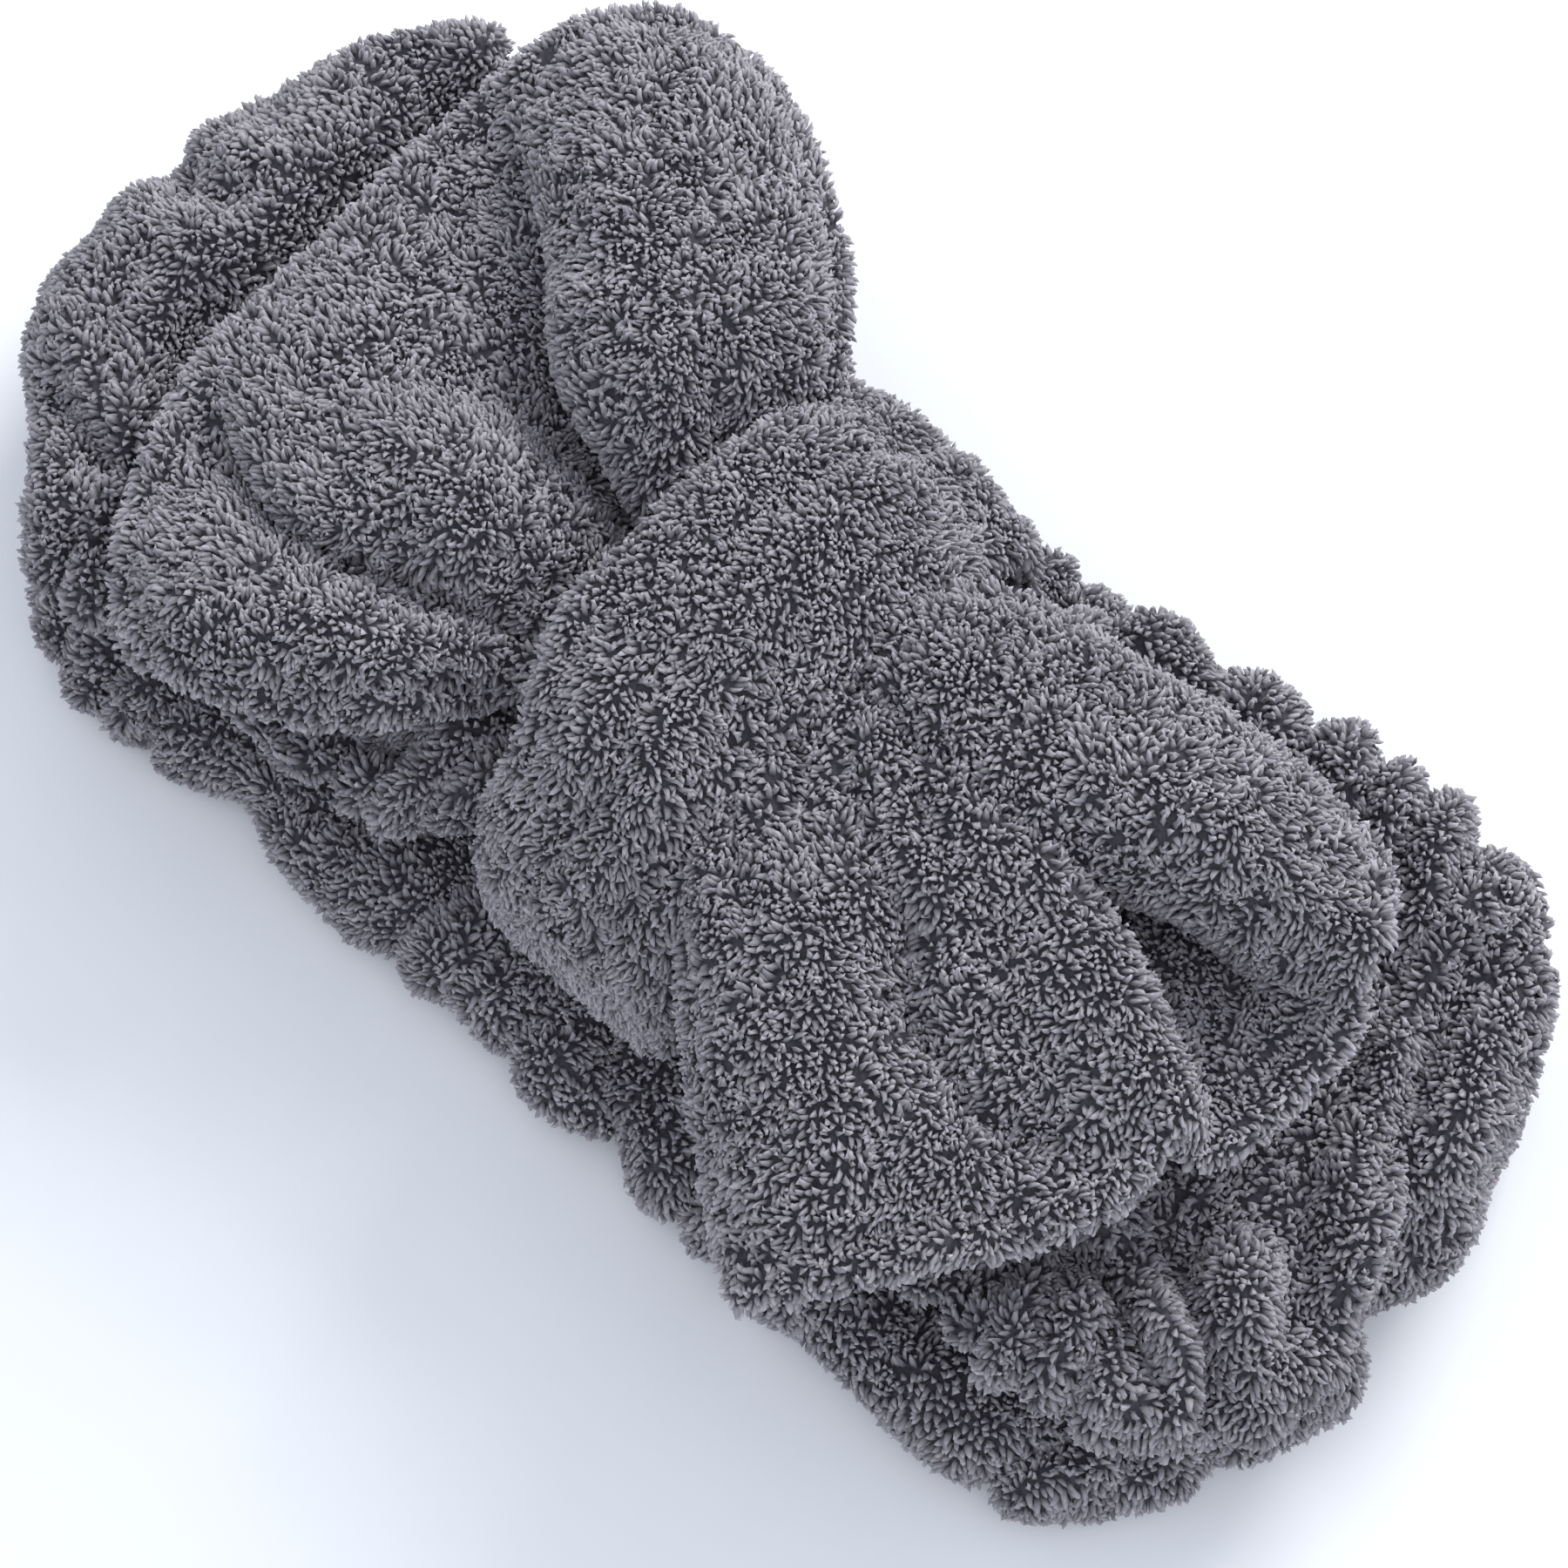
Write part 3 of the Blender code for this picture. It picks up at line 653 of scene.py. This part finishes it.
def add_band(name, side):
    """One half of the sleeve and its pile, which stretch from the middle to the folded end."""
    verts, skin, closed = band_half(side)
    cover = mesh_object(f"{name}_cover", verts, closed, backing)
    rows = len(skin) // PER_RING
    front_end, fold_end = int(rows * FRONT_SHARE), int(rows * FOLD_SHARE)
    parts = {"front": (0, front_end), "fold": (front_end, fold_end), "back": (fold_end, rows)}

    def spacing_of(middles, facing):
        inside = (middles[:, 2] > BACK_Z) & (middles[:, 2] < FRONT_Z) & (np.abs(middles[:, 0]) < TURN_X)
        gap = inside & (np.abs(facing[:, 2]) > 0.75)
        under = (facing[:, 2] < -0.8) & (middles[:, 2] < BACK_Z)
        hidden = gap & (np.abs(middles[:, 1]) < 26)
        return np.where(hidden, BAND_INNER_SPACING, np.where(under, BAND_UNDER_SPACING, BAND_SPACING))

    pieces = [cover]
    for part, (low, high) in parts.items():
        surface = verts, skin[low * PER_RING : high * PER_RING]
        comb = (side * 0.5, -0.4, 0)
        pieces += grow(f"{name}_pile_{part}", surface, spacing_of, comb, LEAN, LOCK_LENGTH, 11 + side)
    for piece in pieces:
        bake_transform(piece)
    return cover


left_cover = add_band("band_left", -1)
right_cover = add_band("band_right", 1)
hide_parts("sleeve_left_turn", "sleeve_front", "sleeve_back", "sleeve_seam_left_turn")
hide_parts("sleeve_right_turn", "sleeve_front", "sleeve_back", "sleeve_seam_right_turn")

# ---------------------------------------------------------------- the bow

LEFT_PINCH, PINCH_PLACE, PINCH_WIDTH = 6.5, 18, 7  # the left wing is pressed down just outside the knot
WING_HALF_THICKNESS = 1.6
SEAM_PINCH, SEAM_INSET, SEAM_WIDTH = 0.45, 4.6, 1.1  # the wing is this much thinner in a line along its hem
GATHER_HEIGHT, GATHER_PITCH = 0.8, 7.5
GATHER_PLACE, GATHER_REACH = 16, 17  # how far from the root they are deepest, and how wide they spread
WING_BROAD_LUMP, WING_BROAD_SIZE = 1.7, 15
WING_FINE_LUMP, WING_FINE_SIZE = 1.1, 7
PILE_SETBACK = 0.02  # the lines follow the tips of the pile, and the fabric is this share smaller
EDGE_ROUND = 2.6
WING_ROWS, WING_COLUMNS = 150, 84


def edge_crowded(count):
    """Places from 0 to 1, closer together towards both ends."""
    even = np.linspace(0, 1, count)
    return 0.55 * even + 0.45 * (0.5 - 0.5 * np.cos(math.pi * even))


def steps_along(grid, axis):
    """Distance run along an axis of a grid of points, from its first row."""
    gaps = np.linalg.norm(np.diff(grid, axis=axis), axis=-1)
    start = np.zeros_like(np.take(gaps, [0], axis=axis))
    return np.cumsum(np.concatenate([start, gaps], axis=axis), axis=axis)


def grid_normals(grid):
    return unit(np.cross(np.gradient(grid, axis=0), np.gradient(grid, axis=1)))


def pillow(grid, thickness, up):
    """Two skins over a grid of middle points, joined along its borders: points, upper and lower quads."""
    normals = grid_normals(grid)
    if (normals * up).sum() < 0:
        normals = -normals
    rows, columns = thickness.shape
    upper = np.arange(rows * columns).reshape(rows, columns)
    lower = upper.copy()
    inner = (rows - 2) * (columns - 2)
    lower[1:-1, 1:-1] = rows * columns + np.arange(inner).reshape(rows - 2, columns - 2)
    offset = normals * thickness[..., None]
    points = np.concatenate([(grid + offset).reshape(-1, 3), (grid - offset)[1:-1, 1:-1].reshape(-1, 3)])

    def quads(index):
        return np.stack([index[:-1, :-1], index[1:, :-1], index[1:, 1:], index[:-1, 1:]], -1).reshape(-1, 4)

    top, bottom = quads(upper), quads(lower)[:, ::-1]
    a, b, c = (points[top[len(top) // 2]][i] for i in range(3))
    if np.dot(np.cross(b - a, c - a), normals[rows // 2, columns // 2]) < 0:
        top, bottom = top[:, ::-1], bottom[:, ::-1]
    return points, top, bottom


def wing_surface(lines, seed):
    """The wing's middle surface in the row frame, and its thickness, which is 0 all round its edge."""
    net = np.array(lines, float)
    net[..., :2] *= 1 - PILE_SETBACK
    hem_places = edge_crowded(WING_COLUMNS) * (net.shape[1] - 1)
    across_places = edge_crowded(WING_ROWS) * (len(lines) - 1)
    grid = spline(net.transpose(1, 0, 2), hem_places).transpose(1, 0, 2)
    grid = spline(grid, across_places)
    across, from_root = steps_along(grid, 0), steps_along(grid, 1)
    free = smooth(from_root / 25)
    gathers = bump(from_root - GATHER_PLACE, GATHER_REACH)
    gathers = gathers * np.sin(across * math.tau / GATHER_PITCH + 2 * np.sin(from_root / 9))
    broad = lumps(grid, WING_BROAD_SIZE, seed)[..., 0]
    fine = lumps(grid, WING_FINE_SIZE, seed + 1)[..., 1]
    grid[..., 2] += GATHER_HEIGHT * gathers + free * WING_BROAD_LUMP * broad + WING_FINE_LUMP * fine
    for path, depth in DIMPLES:
        grid[..., 2] -= depth * bump(distance_to(path, grid), DIMPLE_WIDTH)
    if net[0, -1, 0] < 0:
        grid[..., 2] -= LEFT_PINCH * bump(from_root - PINCH_PLACE, PINCH_WIDTH)
    edge = np.minimum(np.minimum(across, across[-1:] - across), from_root[:, -1:] - from_root)
    edge = np.where(from_root < EDGE_ROUND, np.minimum(edge, from_root), edge)
    inside = np.clip(edge / EDGE_ROUND, 0, 1)
    thickness = WING_HALF_THICKNESS * np.sqrt(1 - (1 - inside) ** 2)
    thickness = thickness * (1 - SEAM_PINCH * bump(edge - SEAM_INSET, SEAM_WIDTH))
    return bow_to_row(grid), thickness


def add_wing(name, lines, side, seed):
    """A wing of the bow and its pile, from its root inside the knot."""
    grid, thickness = wing_surface(lines, seed)
    points, top, bottom = pillow(grid, thickness, np.array([0, 0, 1]))
    faces = np.concatenate([top, bottom])
    fabric = mesh_object(f"{name}_fabric", points, faces, backing)

    def spacing_of(middles, facing):
        in_knot = (middles - bow_middle) @ U_AXIS * side < 4
        seen = np.where(facing[:, 2] < -0.3, BOW_UNDER_SPACING, BOW_SPACING)
        return np.where(in_knot, NO_PILE, seen)

    comb = U_AXIS * side * 0.35 - V_AXIS * 0.55
    hem = np.concatenate([grid[0, 20:], grid[:, -1], grid[-1, 20:]])
    locks = grow(f"{name}_pile", (points, faces), spacing_of, comb, LEAN, LOCK_LENGTH, seed, hem)
    for piece in (fabric, *locks):
        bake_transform(piece)
    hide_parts(f"{name}_front_panel", f"{name}_back_panel", f"{name}_edge_seam")
    return fabric, locks


left_wing, left_locks = add_wing("bow_left", LEFT_WING, -1, 21)
right_wing, right_locks = add_wing("bow_right", RIGHT_WING, 1, 31)

# ---------------------------------------------------------------- the waist and the knot

WAIST_INSET = 3  # its ends lie this far inside the CAD node's
WAIST_HALF_WIDTH, WAIST_FLARE = 15, 5  # at its middle, and how much wider each side is towards its ends
WAIST_HALF_HEIGHT, WAIST_HEIGHT = 6.2, 9.5  # and how high its middle lies over the front layer
WAIST_PLEATS, WAIST_PLEAT_DEPTH = 11, 0.08  # their number, and their depth as a share of its size


def add_waist():
    """The gathered middle of the bow, under the knot."""
    half_length = (waist_high[0] - waist_low[0]) / 2 - WAIST_INSET
    u = np.linspace(-half_length, half_length, 60)
    angle = np.linspace(0, math.tau, 120, endpoint=False)
    ends = smooth((half_length - np.abs(u)) / 4)[:, None]
    folds = np.cos(WAIST_PLEATS * angle + 0.8 * np.sin(u / 6)[:, None])
    pleats = 1 - WAIST_PLEAT_DEPTH * (1 + folds) / 2
    closing = 0.3 + 0.7 * ends
    half_width = (WAIST_HALF_WIDTH + WAIST_FLARE * np.abs(u[:, None] / half_length)) * closing
    half_height = WAIST_HALF_HEIGHT * closing
    grid = np.stack([u[:, None] * np.ones_like(pleats), half_width * pleats * np.cos(angle),
                     WAIST_HEIGHT + half_height * pleats * np.sin(angle)], -1)
    points = bow_to_row(grid).reshape(-1, 3)
    rings = np.arange(pleats.size).reshape(pleats.shape)
    after = np.roll(rings, -1, axis=1)
    faces = np.stack([rings[:-1], rings[1:], after[1:], after[:-1]], -1).reshape(-1, 4)
    closed = np.concatenate([faces, *end_caps(rings, 0, (False, True))])
    waist = mesh_object("bow_waist_gathers", points, closed, backing)

    def spacing_of(middles, facing):
        return np.full(len(middles), WAIST_SPACING)

    comb = (0, 0, 0)
    locks = grow("bow_waist_pile", (points, faces), spacing_of, comb, KNOT_LEAN, WAIST_LOCK_LENGTH, 51)
    for piece in (waist, *locks):
        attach(piece, "band_centre")
    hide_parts("bow_waist")


FAR_SHOULDER = 4.5  # the knot's +y shoulder is pulled in this far over the bow
NEAR_SHIFT = 6.0  # and its -y shoulder leans this far towards the right wing
TOP_SHIFT, SIDE_TURN = 4.2, 0.10  # its top leans the other way, and its sides run on the slant
KNOT_INSET = 2.2  # the strip's side edges lie this far inside the CAD node's
KNOT_REACH_INSET, KNOT_TOP_INSET, KNOT_BOTTOM_INSET = 2.5, 4.6, 2  # and its middle line this far
KNOT_SHOULDER_DROP = 5  # it is widest this far under the front layer's top
KNOT_SQUARE, KNOT_ARCH = 0.45, 0.35  # the power that squares it off, and what is added over the bow
KNOT_CROWN, KNOT_SIDE_CROWN = 2.2, 0.4  # how far its middle bulges over the bow, and everywhere
KNOT_SLOPE = 3.5  # its top is this much lower towards the right wing
KNOT_BROAD_LUMP, KNOT_BROAD_SIZE = 1.5, 14
KNOT_FINE_LUMP, KNOT_FINE_SIZE = 0.6, 7
KNOT_HALF_THICKNESS, KNOT_EDGE_ROUND = 1.9, 3.2
KNOT_ROWS, KNOT_COLUMNS = 190, 64
KNOT_CENTRE_Z = 36  # the pile that faces this height, across the knot, is out of sight
LAP_GAP = 0.02  # half the gap between the strip's two ends, as an angle, under the front layer


def knot_middle(angle):
    """Y and Z of the knot's middle line, square round the front layer and arched over the bow."""
    up = np.sin(angle)
    power = np.where(up < 0, KNOT_SQUARE, KNOT_SQUARE + KNOT_ARCH * smooth(up * 2))
    shoulder = BAND_TOP - KNOT_SHOULDER_DROP
    top, bottom = knot_high[2] - KNOT_TOP_INSET, knot_low[2] + KNOT_BOTTOM_INSET
    reach = np.where(up > 0, top - shoulder, shoulder - bottom)
    y = (KNOT_REACH - KNOT_REACH_INSET) * np.sign(np.cos(angle)) * np.abs(np.cos(angle)) ** power
    y = y - FAR_SHOULDER * smooth(up * 1.6) * smooth(np.cos(angle) * 2.2)
    z = shoulder + reach * np.sign(up) * np.abs(up) ** power
    return y, z


def knot_surface():
    """The knot strip's middle surface, the way out from it along its length, and its thickness."""
    angle = np.linspace(-math.pi / 2 + LAP_GAP, 1.5 * math.pi - LAP_GAP, KNOT_ROWS)
    y, z = knot_middle(angle)
    line = np.stack([np.zeros(KNOT_ROWS), y, z], -1)
    tangent = unit(np.gradient(line, axis=0))
    out = np.stack([np.zeros(KNOT_ROWS), tangent[:, 2], -tangent[:, 1]], -1)
    share = 2 * edge_crowded(KNOT_COLUMNS) - 1
    over = smooth((z - BAND_TOP) / 10)
    half_width = KNOT_HALF_WIDTH - KNOT_INSET
    shift = -TOP_SHIFT * over - SIDE_TURN * y * (1 - over) + NEAR_SHIFT * smooth((-y - 10) / 18) * over
    crown = (KNOT_CROWN * over + KNOT_SIDE_CROWN)[:, None] * (1 - np.abs(share) ** 2.4)
    crown = crown - KNOT_SLOPE * over[:, None] * smooth((share + 0.1) / 1.1)
    grid = line[:, None, :] + out[:, None, :] * crown[..., None]
    grid[..., 0] = KNOT_X + shift[:, None] + half_width * share
    lump = KNOT_BROAD_LUMP * lumps(grid, KNOT_BROAD_SIZE, 61)[..., 0]
    lump = lump + KNOT_FINE_LUMP * lumps(grid, KNOT_FINE_SIZE, 62)[..., 1]
    pleat = np.sin(share * 9 + 1.5 * np.sin(y / 9)[:, None]) * (1 - share**2)
    pleat = pleat * (0.7 + 0.9 * smooth((-y - 14) / 10))[:, None]
    grid = grid + out[:, None, :] * (over[:, None] * (lump + pleat))[..., None]
    across = steps_along(grid, 1)
    edge = np.minimum(across, across[:, -1:] - across)
    along = steps_along(grid, 0)
    edge = np.minimum(edge, np.minimum(along, along[-1:] - along))
    inside = np.clip(edge / KNOT_EDGE_ROUND, 0, 1)
    return grid, out[:, None, :], KNOT_HALF_THICKNESS * np.sqrt(1 - (1 - inside) ** 2)


def add_knot():
    """The strip round the bow's waist and the front layer, and its pile."""
    grid, out, thickness = knot_surface()
    points, top, bottom = pillow(grid, thickness, out)
    faces = np.concatenate([top, bottom])
    knot = mesh_object("knot_cover", points, faces, backing)

    def spacing_of(middles, facing):
        outward = facing[:, 1] * middles[:, 1] + facing[:, 2] * (middles[:, 2] - KNOT_CENTRE_Z)
        return np.where(outward < -8, KNOT_INWARD_SPACING, BOW_SPACING)

    comb = (0.4, -0.9, 0)
    locks = grow("knot_pile", (points, faces), spacing_of, comb, KNOT_LEAN, LOCK_LENGTH, 65)
    for piece in (knot, *locks):
        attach(piece, "band_centre")
    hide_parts("knot_strip")
    return knot, locks


add_waist()
knot, knot_locks = add_knot()

# ---------------------------------------------------------------- floor, light and camera

FLOOR_HALF_SIDE = 3000.0


def add_floor():
    nodes = Nodes("paper_floor", 0.9)
    grain = nodes.noise(40)
    nodes.relief(grain, 0.05, 0.0005)
    colour = nodes.ramp(grain, [(0.2, (0.86, 0.875, 0.915)), (0.8, (0.885, 0.90, 0.935))])
    material = nodes.finish(colour, nodes.remap(grain, 0.85, 0.95))
    corners = np.array([(-1, -1, 0), (1, -1, 0), (1, 1, 0), (-1, 1, 0)]) * FLOOR_HALF_SIDE
    floor = mesh_object("floor", corners, np.array([[0, 1, 2, 3]]), material)


def add_area_light(name, place, target, size, power, colour):
    light = bpy.data.lights.new(name, "AREA")
    light.size = size
    light.energy = power
    light.color = colour
    obj = bpy.data.objects.new(name, light)
    obj.location = place
    obj.rotation_euler = (Vector(target) - Vector(place)).to_track_quat("-Z", "Y").to_euler()
    bpy.context.scene.collection.objects.link(obj)


def add_lights():
    world = bpy.data.worlds.new("studio")
    bpy.context.scene.world = world
    world.use_nodes = True
    background = world.node_tree.nodes["Background"]
    background.inputs["Color"].default_value = (0.87, 0.92, 1.0, 1)
    background.inputs["Strength"].default_value = 0.93
    add_area_light("key", (-0.06, 0.90, 0.66), (0, 0, 0.02), 0.6, 9.6, (1.0, 0.985, 0.955))
    add_area_light("fill", (0.35, -0.35, 1.1), (0, 0, 0.02), 0.8, 1.5, (0.98, 0.99, 1.0))


def add_camera():
    azimuth, elevation, distance = math.radians(42.5), math.radians(68), 0.444
    target = Vector((0.011, -0.0017, 0.020))
    level = math.cos(elevation)
    back = Vector((math.sin(azimuth) * level, -math.cos(azimuth) * level, math.sin(elevation)))
    camera = bpy.data.cameras.new("camera")
    camera.lens = 87
    camera.sensor_width = 36
    obj = bpy.data.objects.new("camera", camera)
    obj.location = target + back * distance
    obj.rotation_euler = (-back).to_track_quat("-Z", "Y").to_euler()
    bpy.context.scene.collection.objects.link(obj)
    bpy.context.scene.camera = obj


add_floor()
add_lights()
add_camera()
bpy.context.scene.view_settings.view_transform = "Standard"
